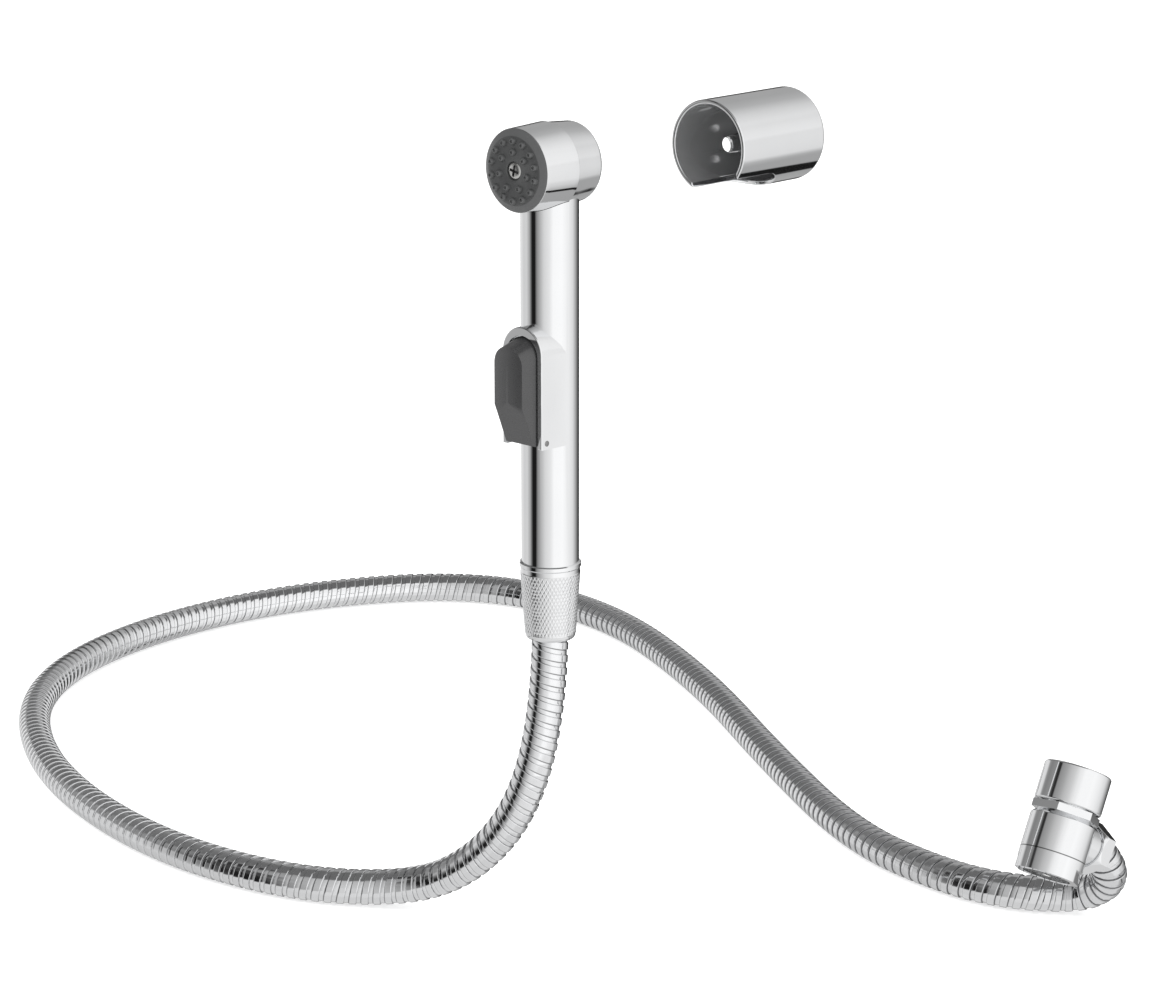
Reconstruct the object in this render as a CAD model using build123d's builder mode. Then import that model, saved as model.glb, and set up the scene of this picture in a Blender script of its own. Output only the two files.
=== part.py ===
from build123d import *
import math
import os

os.makedirs("parts", exist_ok=True)

# Millimetres. The origin is the middle of the holder's back, on the wall, with Z up and the wall towards +Y

# Placing
handset_out = 137.7
head_rise = 4.0
diverter_centre = (151.7, -19.05, -247.75)
diverter_outlet_way = (0.1059, 0.858, -0.5027)
diverter_inlet_way = (-0.0407, 0.5088, 0.8599)
hose_level = -287.0

# Clearances
running_gap = 0.1
seat_gap = 0.1
body_gap = 0.3

# Holder
cup_radius = 18.2
cup_wall = 1.7
cup_length = 49.2
cup_floor = 4.0
cup_edge = 1.5
slot_width = 22.5
slot_depth = 29.5
slot_turn = 15.0
side_hole_radius = 2.9
side_hole_depth = 31.0
wall_screw_radius = 2.25
wall_screw_spacing = 16.0

# Handle tube and head
tube_radius = 10.8
tube_wall = 1.8
tube_length = 149.2
head_split = 1.1
head_back = 13.1
head_back_radius = 14.8
head_seam_radius = 15.8
head_back_edge = 2.0
head_wall = 2.5
spigot_radius = 13.9
spigot_wall = 1.3
spigot_length = 7.9
neck_depth = 19.5
neck_passage_radius = 4.2
neck_passage_out = 4.4
post_radius = 3.2

# Front ring and spray face
ring_seam_radius = 16.1
ring_front_radius = 15.4
ring_length = 16.4
ring_wall = 1.9
ring_lip = 0.7
plate_thickness = 2.5
plate_holes = 10
plate_hole_radius = 0.9
plate_hole_circle = 9.0
seal_thickness = 1.5
face_rise = 1.7
face_flat_radius = 12.3
face_rim_radius = 15.3
face_wall = 1.9
face_skin = 2.2
nozzle_radius = 0.95
nozzle_rise = 0.5
nozzle_hole = 0.45
outer_nozzles = 14
outer_nozzle_circle = 10.9
inner_nozzles = 7
inner_nozzle_circle = 6.9
screw_head_radius = 3.3
screw_head_height = 1.2
screw_recess = 0.8
screw_radius = 1.5
screw_bite = 6.0

# Lever housing, thumb lever and its pin
housing_width = 19.6
housing_back_width = 21.2
housing_front = 15.1
housing_arch_above = 11.2
housing_below_pin = 2.3
housing_edge = 0.5
cheek = 1.9
pocket_floor = 10.0
lever_side_gap = 0.4
pusher_height = 79.0
lever_arch_above = 10.0
lever_inset = 0.6
lever_inner = 13.5
lever_face = 23.0
lever_knee_below = 5.9
lever_toe_below_pin = 1.1
lever_toe_out = 15.8
lever_face_top_above = 14.9
lever_crown = 40.0
lever_skin = 2.2
pin_below = 21.5
pin_out = 12.3
pin_radius = 1.1
pin_length = 19.2
barrel_radius = 1.9
pusher_radius = 3.0
press_angle = 4.5

# Valve
valve_length = 34.0
window_width = 12.0
window_margin = 2.0
valve_flat = 8.0
stem_radius = 2.0
stem_length = 18.4
cap_radius = 3.4
cap_thickness = 1.0
waist_radius = 1.1
waist_start = 10.0
waist_length = 3.2
spring_pocket = 6.5
spring_radius = 3.3
spring_wire = 0.5
spring_turns = 5
water_way_radius = 1.5
water_way_back = 2.6
stem_seal_back = 5.2
stem_seal_width = 1.2
stem_seal_depth = 0.5
pipe_radius = 6.0
pipe_wall = 1.5
pipe_socket = 4.0

# Inlet connector, knurled nut and hose end
connector_spigot = 15.0
connector_socket = 5.0
thread_radius = 9.6
thread_length = 10.0
washer_thickness = 2.0
washer_bore = 5.5
flange_thickness = 2.0
nut_height = 29.8
nut_ring_radius = 11.55
nut_ring_height = 2.0
nut_band_radius = 11.0
nut_band_height = 2.0
nut_top_radius = 11.3
nut_bottom_radius = 9.4
nut_bottom_edge = 0.9
ferrule_radius = 7.4
ferrule_length = 6.7

# Hose
hose_radius = 7.0
hose_wall = 2.0

# Diverter
body_radius = 12.7
body_up = 4.7
body_down = 8.9
body_chamfer = 1.8
hex_height = 3.0
hex_corner_radius = 13.6
hex_turn = 23.0
body_bore = 6.6
chamber_top = 1.0
inlet_gap = 0.5
inlet_radius = 13.05
inlet_height = 15.0
inlet_thread_radius = 11.0
inlet_seat_radius = 10.8
inlet_floor = 3.5
stem_shank_radius = 8.0
stem_way_radius = 5.5
stem_flange_radius = 9.8
stem_flange_height = 1.6
inlet_washer_thickness = 2.0
aerator_radius = 12.5
aerator_height = 8.3
aerator_lip_radius = 9.2
aerator_lip = 1.6
aerator_recess = 2.4
aerator_flat = 11.7
aerator_flat_height = 4.5
aerator_flat_turn = 115.0
screen_thickness = 1.6
screen_hole_radius = 0.7
screw_ring_radius = 10.6
screw_ring_length = 3.4
piston_thickness = 2.2
piston_up = 0.6
piston_stem_radius = 1.6
piston_travel = 1.5
guide_radius = 3.0
diverter_spring_wire = 0.6
diverter_spring_radius = 4.4
diverter_spring_turns = 3
outlet_boss_radius = 8.2
outlet_reach = 16.4
outlet_bore = 4.0
nipple_radius = 7.6
nipple_length = 1.2
outlet_washer_thickness = 0.8
outlet_flange_thickness = 1.0
outlet_ferrule_length = 0.6
hex_nut_flats = 18.0
hex_nut_length = 6.5
hex_nut_turn = 3.0
hex_nut_face_radius = 8.9
hex_nut_chamfer = 2.2

# Sizes that follow from these
cup_bore = cup_radius - cup_wall
tube_bore = tube_radius - tube_wall
head_bore = spigot_radius - spigot_wall
ring_bore = spigot_radius + running_gap
ring_front = head_split + ring_length
spigot_front = head_split + spigot_length
seal_front = spigot_front + seal_thickness
plate_front = seal_front + plate_thickness
plate_radius = ring_bore - ring_lip - running_gap
face_front = ring_front + face_rise
pocket_width = housing_width - 2 * cheek
housing_half = housing_width / 2
housing_back = housing_back_width / 2
lever_half = pocket_width / 2 - lever_side_gap
pin_height = pusher_height + pin_below
housing_arch = pusher_height - housing_arch_above
housing_bottom = pin_height + housing_below_pin
housing_top = housing_arch - housing_half
housing_back_arch = housing_top + housing_back
lever_arch = pusher_height - lever_arch_above
lever_face_half = lever_half - lever_inset
lever_face_arch = pusher_height - lever_face_top_above + lever_face_half
lever_inset_top = lever_face_arch - lever_arch
lever_knee = pusher_height + lever_knee_below
lever_toe = pin_height + lever_toe_below_pin
valve_top = pusher_height - valve_length / 2
valve_bottom = pusher_height + valve_length / 2
press_travel = pin_below * math.tan(math.radians(press_angle))
pusher_end = pin_out + 0.2
cap_front = pusher_end - body_gap
spring_floor = valve_flat - spring_pocket
spring_end = cap_front - cap_thickness - press_travel - 0.1
pipe_bore = pipe_radius - pipe_wall
valve_radius = tube_bore - running_gap / 2
nut_bore = thread_radius + running_gap
nut_shoulder = tube_length + thread_length + washer_thickness + flange_thickness + seat_gap
ferrule_end = nut_shoulder - seat_gap + ferrule_length
inlet_base = body_up + body_chamfer + hex_height + inlet_gap
inlet_top = inlet_base + inlet_height
stem_flange_base = inlet_base + inlet_floor + seat_gap
stem_top = stem_flange_base + stem_flange_height
aerator_end = body_down + aerator_height
screen_base = aerator_end - aerator_recess
outlet_nut_start = outlet_reach + seat_gap
hex_nut_corner = hex_nut_flats / 2 / math.cos(math.pi / 6)
nipple_end = outlet_reach + nipple_length
outlet_seat = nipple_end + outlet_washer_thickness + outlet_flange_thickness
hose_seat = outlet_seat + outlet_ferrule_length
piston_top = piston_up
piston_base = piston_up - piston_thickness

# Planes and axes
head_section = Plane(origin=(0, -handset_out, head_rise), x_dir=(0, 1, 0), z_dir=(1, 0, 0))
handset_section = Plane(origin=(0, -handset_out, head_rise), x_dir=(1, 0, 0), z_dir=(0, -1, 0))
handset_axis = Axis((0, -handset_out, head_rise), (0, 0, 1))
head_axis = Axis((0, -handset_out, head_rise), (0, 1, 0))
diverter_plane = Plane(origin=diverter_centre, x_dir=diverter_outlet_way, z_dir=diverter_inlet_way)
diverter_section = Plane(origin=diverter_centre, x_dir=diverter_plane.x_dir, z_dir=-diverter_plane.y_dir)
diverter_axis = Axis(diverter_centre, diverter_plane.z_dir)
outlet_axis = Axis(diverter_centre, diverter_plane.x_dir)


def facing(out):
    # A plane across the head's axis, looking away from the wall, as far from the handset's axis as out says
    return Plane(origin=(0, -handset_out - out, head_rise), x_dir=(1, 0, 0), z_dir=(0, -1, 0))


def level(height):
    # A plane across the handset's axis, measured down from the head's axis
    return Plane(origin=(0, -handset_out, head_rise - height), x_dir=(1, 0, 0), z_dir=(0, 0, 1))


def across(out):
    # A plane across the diverter's outlet, measured from the diverter's axis
    return Plane(origin=diverter_plane.from_local_coords((out, 0, 0)), x_dir=diverter_plane.z_dir,
                 z_dir=diverter_plane.x_dir)


def storey(height):
    # A plane across the diverter's body, measured up from the outlet's axis
    return Plane(origin=diverter_plane.from_local_coords((0, 0, height)), x_dir=diverter_plane.x_dir,
                 z_dir=diverter_plane.z_dir)


# Wall holder, a cup with a slot for the handle
with BuildPart() as wall_holder:
    with BuildSketch(Plane.XZ):
        Circle(cup_radius)
    extrude(amount=cup_length)
    fillet(wall_holder.edges().sort_by(Axis.Y)[-1], radius=cup_edge)
    with BuildSketch(Plane.XZ.offset(cup_floor)):
        Circle(cup_bore)
    extrude(amount=cup_length - cup_floor, mode=Mode.SUBTRACT)
    slot_way = Vector(math.sin(math.radians(slot_turn)), 0, -math.cos(math.radians(slot_turn)))
    slot_plane = Plane(origin=(0, -cup_length, 0), x_dir=(0, 1, 0), z_dir=slot_way)
    with BuildSketch(slot_plane):
        with Locations((slot_depth - slot_width / 2, 0)):
            Circle(slot_width / 2)
        with Locations(((slot_depth - slot_width / 2) / 2, 0)):
            Rectangle(slot_depth - slot_width / 2, slot_width)
    extrude(amount=cup_radius * 2, mode=Mode.SUBTRACT)
    side_way = Vector(-math.cos(math.radians(slot_turn)), 0, -math.sin(math.radians(slot_turn)))
    with BuildSketch(Plane(origin=(0, -cup_length, 0), x_dir=(0, 1, 0), z_dir=side_way)):
        with Locations((side_hole_depth, 0)):
            Circle(side_hole_radius)
    extrude(amount=cup_radius * 2, mode=Mode.SUBTRACT)
    with BuildSketch(Plane.XZ):
        with GridLocations(0, wall_screw_spacing, 1, 2):
            Circle(wall_screw_radius)
    extrude(amount=cup_floor, mode=Mode.SUBTRACT)
wall_holder.part.label = "wall_holder"
export_step(wall_holder.part, "parts/wall_holder.step")

# Handle, with the tube, the back of the head and the lever's housing in one piece
with BuildPart() as handle_body:
    with BuildSketch(level(tube_length)):
        Circle(tube_radius)
    extrude(amount=tube_length)
    with BuildSketch(head_section):
        with BuildLine():
            Polyline((-head_split, 0), (-head_split, head_seam_radius), (head_back, head_back_radius),
                     (head_back, 0), close=True)
        make_face()
    revolve(axis=head_axis)
    fillet(handle_body.edges().sort_by(Axis.Y)[-1], radius=head_back_edge)
    with BuildSketch(facing(head_split)):
        with BuildLine():
            ThreePointArc((-housing_back, -housing_back_arch), (0, -housing_top), (housing_back, -housing_back_arch))
            Polyline((housing_back, -housing_back_arch), (housing_back, -housing_bottom),
                     (-housing_back, -housing_bottom), (-housing_back, -housing_back_arch))
        make_face()
    with BuildSketch(facing(housing_front)):
        with BuildLine():
            ThreePointArc((-housing_half, -housing_arch), (0, -housing_top), (housing_half, -housing_arch))
            Polyline((housing_half, -housing_arch), (housing_half, -housing_bottom),
                     (-housing_half, -housing_bottom), (-housing_half, -housing_arch))
        make_face()
    loft()
    front_y = -handset_out - housing_front
    fillet(handle_body.edges().filter_by_position(Axis.Y, front_y - 0.01, front_y + 0.01),
           radius=housing_edge)
    with BuildSketch(head_section):
        with BuildLine():
            Polyline((-head_split, 0), (-head_split, ring_seam_radius + running_gap),
                     (-ring_front, ring_front_radius + running_gap), (-ring_front, 0), close=True)
        make_face()
    revolve(axis=head_axis, mode=Mode.SUBTRACT)
    with BuildSketch(head_section):
        with BuildLine():
            Polyline((head_split, head_bore), (head_split, spigot_radius),
                     (-spigot_front, spigot_radius), (-spigot_front, head_bore), close=True)
        make_face()
    revolve(axis=head_axis)
    with BuildSketch(facing(spigot_front)):
        Circle(head_bore)
    extrude(amount=-(spigot_front + head_back - head_wall), mode=Mode.SUBTRACT)
    with BuildSketch(level(tube_length)):
        Circle(tube_bore)
    extrude(amount=tube_length - neck_depth, mode=Mode.SUBTRACT)
    with BuildSketch(level(neck_depth)):
        with Locations((0, neck_passage_out)):
            Circle(neck_passage_radius)
    extrude(amount=neck_depth - head_bore / 2, mode=Mode.SUBTRACT)
    with BuildSketch(facing(seal_front)):
        Circle(post_radius)
    extrude(amount=-(seal_front + head_back - head_wall))
    with BuildSketch(facing(seal_front)):
        Circle(screw_radius)
    extrude(amount=-screw_bite, mode=Mode.SUBTRACT)
    with BuildSketch(facing(housing_front)):
        with Locations((0, -lever_arch)):
            Circle(pocket_width / 2)
        with Locations((0, -(lever_arch + housing_bottom) / 2)):
            Rectangle(pocket_width, housing_bottom - lever_arch)
    extrude(amount=-(housing_front - pocket_floor), mode=Mode.SUBTRACT)
    with BuildSketch(facing(pocket_floor)):
        with Locations((0, -(valve_top + valve_bottom) / 2)):
            RectangleRounded(window_width, valve_bottom - valve_top - 2 * window_margin, window_margin)
    extrude(amount=-(pocket_floor - tube_bore / 2), mode=Mode.SUBTRACT)
    with BuildSketch(head_section.offset(-pin_length / 2)):
        with Locations((-pin_out, -pin_height)):
            Circle(pin_radius)
    extrude(amount=pin_length, mode=Mode.SUBTRACT)
handle_body.part.label = "handle_body"
export_step(handle_body.part, "parts/handle_body.step")

# Front ring round the spray face
with BuildPart() as front_ring:
    with BuildSketch(head_section):
        with BuildLine():
            Polyline((-head_split, ring_bore), (-head_split, ring_seam_radius),
                     (-ring_front, ring_front_radius), (-ring_front, ring_bore - ring_lip),
                     (-seal_front, ring_bore - ring_lip), (-seal_front, ring_bore), close=True)
        make_face()
    revolve(axis=head_axis)
front_ring.part.label = "front_ring"
export_step(front_ring.part, "parts/front_ring.step")

# Seal between the head and the spray plate
with BuildPart() as face_seal:
    with BuildSketch(facing(spigot_front)):
        Circle(spigot_radius)
        Circle(head_bore, mode=Mode.SUBTRACT)
    extrude(amount=seal_thickness)
face_seal.part.label = "face_seal"
export_step(face_seal.part, "parts/face_seal.step")

# Plate that carries the spray face
with BuildPart() as spray_plate:
    with BuildSketch(facing(seal_front)):
        Circle(plate_radius)
        Circle(screw_radius, mode=Mode.SUBTRACT)
        with PolarLocations(plate_hole_circle, plate_holes):
            Circle(plate_hole_radius, mode=Mode.SUBTRACT)
    extrude(amount=plate_thickness)
spray_plate.part.label = "spray_plate"
export_step(spray_plate.part, "parts/spray_plate.step")

# Soft spray face with its nozzles
with BuildPart() as spray_face:
    with BuildSketch(head_section):
        with BuildLine():
            Polyline((-plate_front, 0), (-plate_front, plate_radius), (-ring_front, plate_radius),
                     (-ring_front, face_rim_radius), (-face_front, face_flat_radius), (-face_front, 0),
                     close=True)
        make_face()
    revolve(axis=head_axis)
    with BuildSketch(facing(face_front)):
        with PolarLocations(outer_nozzle_circle, outer_nozzles, start_angle=90):
            Circle(nozzle_radius)
        with PolarLocations(inner_nozzle_circle, inner_nozzles, start_angle=90):
            Circle(nozzle_radius)
    extrude(amount=nozzle_rise)
    with BuildSketch(facing(plate_front)):
        Circle(plate_radius - face_wall)
        Circle(screw_head_radius + face_wall, mode=Mode.SUBTRACT)
    extrude(amount=face_front - face_skin - plate_front, mode=Mode.SUBTRACT)
    with BuildSketch(facing(face_front + nozzle_rise)):
        with PolarLocations(outer_nozzle_circle, outer_nozzles, start_angle=90):
            Circle(nozzle_hole)
        with PolarLocations(inner_nozzle_circle, inner_nozzles, start_angle=90):
            Circle(nozzle_hole)
    extrude(amount=-(face_skin + nozzle_rise), mode=Mode.SUBTRACT)
    with BuildSketch(facing(face_front)):
        Circle(screw_head_radius + running_gap)
    extrude(amount=-(screw_recess + screw_head_height), mode=Mode.SUBTRACT)
    with BuildSketch(facing(face_front)):
        Circle(screw_radius)
    extrude(amount=-(face_front - plate_front), mode=Mode.SUBTRACT)
spray_face.part.label = "spray_face"
export_step(spray_face.part, "parts/spray_face.step")

# Screw that holds the spray face
with BuildPart() as face_screw:
    with BuildSketch(facing(face_front - screw_recess - screw_head_height)):
        Circle(screw_head_radius)
    extrude(amount=screw_head_height)
    with BuildSketch(facing(seal_front - screw_bite)):
        Circle(screw_radius)
    extrude(amount=face_front - screw_recess - screw_head_height - seal_front + screw_bite)
    with BuildSketch(facing(face_front - screw_recess)):
        Rectangle(screw_head_radius * 1.2, 0.8)
        Rectangle(0.8, screw_head_radius * 1.2)
    extrude(amount=-screw_head_height / 2, mode=Mode.SUBTRACT)
face_screw.part.label = "face_screw"
export_step(face_screw.part, "parts/face_screw.step")

# Valve body in the tube, behind the lever
with BuildPart() as valve_body:
    with BuildSketch(level(valve_bottom)):
        Circle(valve_radius)
    extrude(amount=valve_bottom - valve_top)
    with BuildSketch(facing(tube_radius)):
        with Locations((0, -(valve_top + valve_bottom) / 2)):
            Rectangle(2 * tube_radius, 2 * valve_bottom)
    extrude(amount=-(tube_radius - valve_flat), mode=Mode.SUBTRACT)
    with BuildSketch(facing(valve_flat)):
        with Locations((0, -pusher_height)):
            Circle(spring_radius + body_gap)
    extrude(amount=-spring_pocket, mode=Mode.SUBTRACT)
    with BuildSketch(facing(valve_flat)):
        with Locations((0, -pusher_height)):
            Circle(stem_radius + running_gap / 2)
    extrude(amount=-2 * tube_radius, mode=Mode.SUBTRACT)
    with BuildSketch(level(valve_bottom)):
        with Locations((0, water_way_back)):
            Circle(water_way_radius)
    extrude(amount=valve_bottom - valve_top, mode=Mode.SUBTRACT)
    with BuildSketch(level(valve_bottom)):
        Circle(pipe_radius)
    extrude(amount=pipe_socket, mode=Mode.SUBTRACT)
    with BuildSketch(level(valve_top)):
        Circle(pipe_radius)
    extrude(amount=-pipe_socket, mode=Mode.SUBTRACT)
valve_body.part.label = "valve_body"
export_step(valve_body.part, "parts/valve_body.step")

# Plunger that the lever pushes, with a waist that lets the water past
with BuildPart() as valve_plunger:
    with BuildSketch(head_section):
        with BuildLine():
            Polyline((-cap_front, -pusher_height), (-cap_front, cap_radius - pusher_height),
                     (cap_thickness - cap_front, cap_radius - pusher_height),
                     (cap_thickness - cap_front, stem_radius - pusher_height),
                     (waist_start - cap_front, stem_radius - pusher_height),
                     (waist_start - cap_front, waist_radius - pusher_height),
                     (waist_start + waist_length - cap_front, waist_radius - pusher_height),
                     (waist_start + waist_length - cap_front, stem_radius - pusher_height),
                     (stem_length - cap_front, stem_radius - pusher_height),
                     (stem_length - cap_front, -pusher_height), close=True)
        make_face()
    revolve(axis=Axis((0, -handset_out, head_rise - pusher_height), (0, 1, 0)))
    with BuildSketch(facing(-stem_seal_back)):
        with Locations((0, -pusher_height)):
            Circle(stem_radius)
            Circle(stem_radius - stem_seal_depth, mode=Mode.SUBTRACT)
    extrude(amount=stem_seal_width, mode=Mode.SUBTRACT)
valve_plunger.part.label = "valve_plunger"
export_step(valve_plunger.part, "parts/valve_plunger.step")

# Seal on the plunger
with BuildPart() as plunger_seal:
    with BuildSketch(facing(-stem_seal_back)):
        with Locations((0, -pusher_height)):
            Circle(stem_radius)
            Circle(stem_radius - stem_seal_depth, mode=Mode.SUBTRACT)
    extrude(amount=stem_seal_width)
plunger_seal.part.label = "plunger_seal"
export_step(plunger_seal.part, "parts/plunger_seal.step")

# Spring under the plunger's cap, drawn as short as it is when the lever is pressed
with BuildPart() as valve_spring:
    coil_length = spring_end - spring_floor - spring_wire
    coil_start = -handset_out - spring_floor - spring_wire / 2
    with BuildLine() as valve_coil:
        Helix(pitch=coil_length / spring_turns, height=coil_length, radius=spring_radius - spring_wire / 2,
              center=(0, coil_start, head_rise - pusher_height), direction=(0, -1, 0))
    with BuildSketch(Plane(origin=valve_coil.line @ 0, z_dir=valve_coil.line % 0)):
        Circle(spring_wire / 2)
    sweep(path=valve_coil.line)
valve_spring.part.label = "valve_spring"
export_step(valve_spring.part, "parts/valve_spring.step")

# Inner pipes below and above the valve
with BuildPart() as lower_pipe:
    with BuildSketch(level(tube_length - connector_spigot + connector_socket)):
        Circle(pipe_radius)
        Circle(pipe_bore, mode=Mode.SUBTRACT)
    extrude(amount=tube_length - connector_spigot + connector_socket - valve_bottom + pipe_socket)
lower_pipe.part.label = "lower_pipe"
export_step(lower_pipe.part, "parts/lower_pipe.step")

with BuildPart() as upper_pipe:
    with BuildSketch(level(valve_top + pipe_socket)):
        Circle(pipe_radius)
        Circle(pipe_bore, mode=Mode.SUBTRACT)
    extrude(amount=valve_top + pipe_socket - neck_depth)
upper_pipe.part.label = "upper_pipe"
export_step(upper_pipe.part, "parts/upper_pipe.step")

# Lever's pin
with BuildPart() as lever_pin:
    with BuildSketch(head_section.offset(-pin_length / 2)):
        with Locations((-pin_out, -pin_height)):
            Circle(pin_radius)
    extrude(amount=pin_length)
lever_pin.part.label = "lever_pin"
export_step(lever_pin.part, "parts/lever_pin.step")

# Thumb lever, an arched shell on its barrel with a pusher inside
with BuildPart() as thumb_lever:
    with BuildSketch(facing(lever_inner)):
        with BuildLine():
            ThreePointArc((-lever_half, -lever_arch), (0, lever_half - lever_arch), (lever_half, -lever_arch))
            Polyline((lever_half, -lever_arch), (lever_half, -lever_toe), (-lever_half, -lever_toe),
                     (-lever_half, -lever_arch))
        make_face()
    with BuildSketch(facing(lever_face)):
        with BuildLine():
            ThreePointArc((-lever_face_half, -lever_face_arch), (0, lever_face_half - lever_face_arch),
                          (lever_face_half, -lever_face_arch))
            Polyline((lever_face_half, -lever_face_arch), (lever_face_half, -lever_toe),
                     (-lever_face_half, -lever_toe), (-lever_face_half, -lever_face_arch))
        make_face()
    loft()
    with BuildSketch(head_section):
        with BuildLine():
            Polyline((-lever_inner, lever_half * 2 - lever_arch), (-lever_face, lever_half * 2 - lever_arch),
                     (-lever_face, -lever_knee), (-lever_toe_out, -lever_toe), (-lever_inner, -lever_toe),
                     close=True)
        make_face()
    extrude(amount=housing_width, both=True, mode=Mode.INTERSECT)
    with BuildSketch(level(lever_toe)):
        with Locations((0, lever_crown - lever_face)):
            Circle(lever_crown)
    extrude(amount=lever_toe, mode=Mode.INTERSECT)
    inner_half = lever_half - lever_skin + 0.4
    with BuildSketch(facing(lever_inner)):
        with Locations((0, -lever_arch - lever_inset_top / 2)):
            Circle(inner_half)
        with Locations((0, -(lever_arch + lever_inset_top / 2 + lever_knee + 5) / 2)):
            Rectangle(2 * inner_half, lever_knee + 5 - lever_arch - lever_inset_top / 2)
    extrude(amount=lever_face - lever_skin - lever_inner - 3, mode=Mode.SUBTRACT)
    with BuildSketch(facing(lever_inner)):
        with Locations((0, -lever_arch - lever_inset_top)):
            Circle(inner_half - 0.4)
        with Locations((0, -(lever_arch + lever_inset_top + lever_knee) / 2)):
            Rectangle(2 * inner_half - 0.8, lever_knee - lever_arch - lever_inset_top)
    extrude(amount=lever_face - lever_skin - lever_inner, mode=Mode.SUBTRACT)
    with BuildSketch(facing(pusher_end)):
        with Locations((0, -pusher_height)):
            Circle(pusher_radius)
    extrude(amount=lever_face - lever_skin / 2 - pusher_end)
    with BuildSketch(head_section.offset(-lever_half)):
        with Locations((-pin_out, -pin_height)):
            Circle(barrel_radius)
    extrude(amount=2 * lever_half)
    with BuildSketch(head_section.offset(-lever_half)):
        with Locations((-pin_out, -pin_height)):
            Circle(pin_radius + running_gap / 2)
    extrude(amount=2 * lever_half, mode=Mode.SUBTRACT)
thumb_lever.part.label = "thumb_lever"
export_step(thumb_lever.part, "parts/thumb_lever.step")

# Inlet connector in the tube's lower end
with BuildPart() as inlet_connector:
    with BuildSketch(level(tube_length)):
        Circle(tube_bore)
    extrude(amount=connector_spigot)
    with BuildSketch(level(tube_length)):
        Circle(thread_radius)
    extrude(amount=-thread_length)
    with BuildSketch(level(tube_length - connector_spigot)):
        Circle(pipe_radius)
    extrude(amount=-connector_socket, mode=Mode.SUBTRACT)
    with BuildSketch(level(tube_length + thread_length)):
        Circle(pipe_bore)
    extrude(amount=thread_length + connector_spigot, mode=Mode.SUBTRACT)
inlet_connector.part.label = "inlet_connector"
export_step(inlet_connector.part, "parts/inlet_connector.step")

# Knurled nut that holds the hose to the handset
with BuildPart() as knurled_nut:
    nut_end = tube_length + nut_height
    knurl_top = tube_length + nut_ring_height + nut_band_height
    with BuildSketch(handset_section):
        with BuildLine():
            Polyline((thread_radius, -tube_length), (nut_ring_radius, -tube_length),
                     (nut_ring_radius, -tube_length - nut_ring_height),
                     (nut_band_radius, -tube_length - nut_ring_height),
                     (nut_band_radius, -knurl_top), (nut_top_radius, -knurl_top),
                     (nut_bottom_radius, nut_bottom_edge - nut_end),
                     (nut_bottom_radius - nut_bottom_edge, -nut_end),
                     (ferrule_radius + running_gap, -nut_end),
                     (ferrule_radius + running_gap, -nut_shoulder),
                     (nut_bore, -nut_shoulder), (nut_bore, -tube_length - thread_length),
                     (thread_radius, -tube_length - thread_length), close=True)
        make_face()
    revolve(axis=handset_axis)
knurled_nut.part.label = "knurled_nut"
export_step(knurled_nut.part, "parts/knurled_nut.step")

# Washer between the connector and the hose's end
with BuildPart() as hose_washer:
    with BuildSketch(level(tube_length + thread_length)):
        Circle(thread_radius)
        Circle(washer_bore, mode=Mode.SUBTRACT)
    extrude(amount=-washer_thickness)
hose_washer.part.label = "hose_washer"
export_step(hose_washer.part, "parts/hose_washer.step")

# Hose's end at the handset
with BuildPart() as hose_ferrule:
    with BuildSketch(level(nut_shoulder - seat_gap)):
        Circle(thread_radius - running_gap)
        Circle(pipe_bore, mode=Mode.SUBTRACT)
    extrude(amount=flange_thickness - seat_gap)
    with BuildSketch(level(ferrule_end)):
        Circle(ferrule_radius)
        Circle(pipe_bore, mode=Mode.SUBTRACT)
    extrude(amount=ferrule_length)
hose_ferrule.part.label = "hose_ferrule"
export_step(hose_ferrule.part, "parts/hose_ferrule.step")

# Hose, from the handset down to the surface, round in one wide loop and up into the diverter
hose_route = [
    Vector(0, -handset_out, head_rise - ferrule_end),
    Vector(0, -handset_out, -195.4),
    Vector(-5.7, -143.9, -238.7),
    Vector(-26.5, -149.6, -268.6),
    Vector(-59.5, -154.8, hose_level),
    Vector(-104.5, -184.4, hose_level),
    Vector(-186.0, -187.6, hose_level),
    Vector(-283.1, -156.7, hose_level),
    Vector(-366.5, -94.3, hose_level),
    Vector(-403.2, -9.5, hose_level),
    Vector(-397.3, 93.3, hose_level),
    Vector(-342.7, 177.5, hose_level),
    Vector(-255.0, 180.7, hose_level),
    Vector(-151.7, 129.3, hose_level),
    Vector(-51.9, 61.5, hose_level),
    Vector(31.5, 10.2, hose_level),
    Vector(84.4, -1.4, hose_level),
    Vector(114.8, 2.0, hose_level),
    Vector(136.6, 17.3, hose_level),
    Vector(149.4, 16.3, -279.0),
    Vector(154.1, 12.4, -272.5),
    Vector(155.2, 8.2, -266.7),
    diverter_plane.from_local_coords((hose_seat + 5.6, 0, 0)),
    diverter_plane.from_local_coords((hose_seat, 0, 0)),
]
hose_radii = []
for before, here, after in zip(hose_route, hose_route[1:], hose_route[2:]):
    shorter = min((here - before).length, (after - here).length)
    turn = math.radians((here - before).get_angle(after - here))
    hose_radii.append(0.45 * shorter / math.tan(turn / 2))
print("hose radii", [round(radius, 1) for radius in hose_radii])
with BuildPart() as hose:
    with BuildLine() as hose_line:
        FilletPolyline(*hose_route, radius=hose_radii)
    with BuildSketch(level(ferrule_end)):
        Circle(hose_radius)
        Circle(hose_radius - hose_wall, mode=Mode.SUBTRACT)
    sweep(path=hose_line.wires()[0])
hose.part.label = "hose"
export_step(hose.part, "parts/hose.step")
hose_section = math.pi * (hose_radius ** 2 - (hose_radius - hose_wall) ** 2)
hose_length = sum(edge.length for edge in hose_line.edges())
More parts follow.
